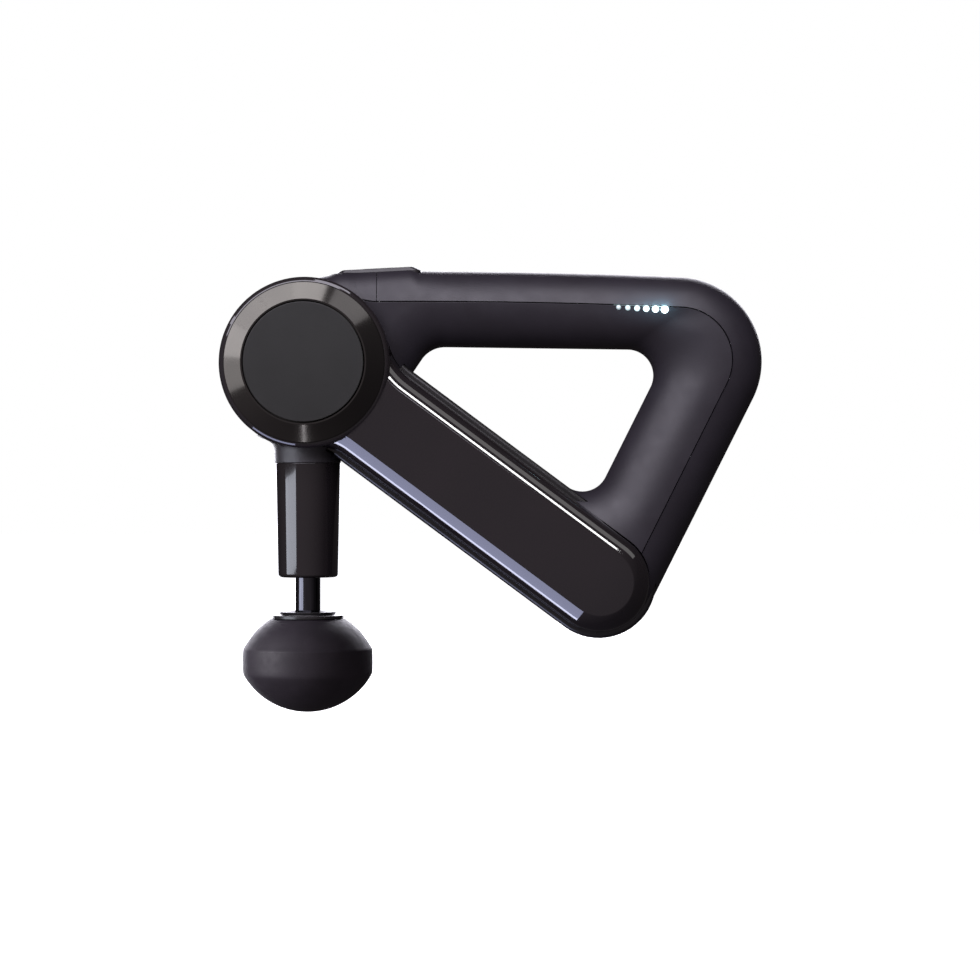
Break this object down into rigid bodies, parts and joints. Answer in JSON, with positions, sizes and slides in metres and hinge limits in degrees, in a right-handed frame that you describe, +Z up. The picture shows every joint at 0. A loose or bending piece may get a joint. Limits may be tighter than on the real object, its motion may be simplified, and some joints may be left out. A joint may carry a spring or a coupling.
{
  "type": "massage gun",
  "caption": "Handheld percussive massager: round motor head on a diagonal battery arm, closed by a loop handle, driving a reciprocating shaft with a pull-off foam ball.",
  "frame": {"origin": "centre of the rear cap's flat face, on the motor axis", "axes": "+Y along the motor axis out of the rear cap, +Z up against the stroke of the shaft, +X from the head towards the handle's corner"},
  "size_m": [0.2423, 0.062, 0.1995],
  "materials": {
    "gloss_shell": "piano-black gloss",
    "graphite_ring": "dark metallic paint, bevelled ring",
    "satin_cap": "satin",
    "soft_touch": "soft-touch elastomer, fine grain",
    "frame_plastic": "semi-gloss",
    "black_rubber": "matt",
    "foam": "dense closed-cell foam, matt",
    "dark_chrome": "dark polished",
    "steel": "machined",
    "bronze": "sintered bronze",
    "bare_aluminium": "machined",
    "copper_winding": "enamelled copper",
    "magnet": "nickel plated",
    "circuit_board": "solder mask",
    "cell_wrap": "shrink sleeve over a can",
    "led_lens": "lit diffuser",
    "wire_jacket": "insulated lead"
  },
  "bodies": {
    "housing": {"mid_frame": "frame_plastic", "front_cover": "gloss_shell", "rear_cover": "gloss_shell", "front_bezel_ring": "graphite_ring", "front_cap": "satin_cap", "rear_cap": "satin_cap", "spine_cover": "soft_touch", "neck_shroud": "soft_touch", "handle_shell_front": "soft_touch", "handle_shell_rear": "soft_touch", "button_bezel": "frame_plastic", "tact_switch": "steel", "button_board": "circuit_board", "led_light_guide": "led_lens", "led_board": "circuit_board", "nose_collar": "satin_cap", "nose_sleeve": "gloss_shell", "upper_bushing": "bronze", "lower_bushing": "bronze", "wiper_seal": "black_rubber", "stator": "copper_winding", "motor_mount": "bare_aluminium", "motor_bearing_front": "steel", "motor_bearing_rear": "steel", "controller_board": "circuit_board", "heat_sink": "bare_aluminium", "capacitor": "bare_aluminium", "battery_holder_upper": "frame_plastic", "battery_holder_lower": "frame_plastic", "charge_jack": "frame_plastic", "charge_pin": "steel", "charge_board": "circuit_board", "battery_lead": "wire_jacket", "handle_lead": "wire_jacket", "battery_cell_1": "cell_wrap", "battery_cell_2": "cell_wrap", "battery_cell_3": "cell_wrap", "battery_cell_4": "cell_wrap", "cover_screw_1": "steel", "cover_screw_2": "steel", "cover_screw_3": "steel", "cover_screw_4": "steel", "cover_screw_5": "steel", "cover_screw_6": "steel", "handle_screw_1": "steel", "handle_screw_2": "steel"},
    "rotor": {"rotor_bell": "bare_aluminium", "magnet_ring": "magnet", "motor_shaft": "steel", "crank_wheel": "steel"},
    "plunger": {"percussion_shaft": "dark_chrome", "wrist_pin": "steel", "shaft_o_ring": "black_rubber"},
    "conrod": {"connecting_rod": "bare_aluminium", "big_end_bearing": "steel", "crank_pin": "steel"},
    "button": {"power_button": "black_rubber"},
    "attachment": {"ball_hub": "frame_plastic", "massage_ball": "foam"}
  },
  "joints": [
    {"name": "rotor_spin", "type": "hinge", "parent": "housing", "child": "rotor", "pos_m": [0, -0.02, 0], "axis": [0, 1, 0], "continuous": true},
    {"name": "percussion_slide", "type": "slide", "parent": "housing", "child": "plunger", "axis": [0, 0, 1], "range_m": [0, 0.014]},
    {"name": "conrod_swing", "type": "hinge", "parent": "plunger", "child": "conrod", "pos_m": [0, -0.031, -0.037], "axis": [0, 1, 0], "range_deg": [-13.5, 13.5]},
    {"name": "button_press", "type": "slide", "parent": "housing", "child": "button", "axis": [0.0518, 0, -0.9987], "range_m": [0, 0.001], "stiffness_N_per_m": 1500, "springref_m": -0.001},
    {"name": "attachment_pull", "type": "slide", "parent": "plunger", "child": "attachment", "axis": [0, 0, -1], "range_m": [0, 0.02]}
  ]
}
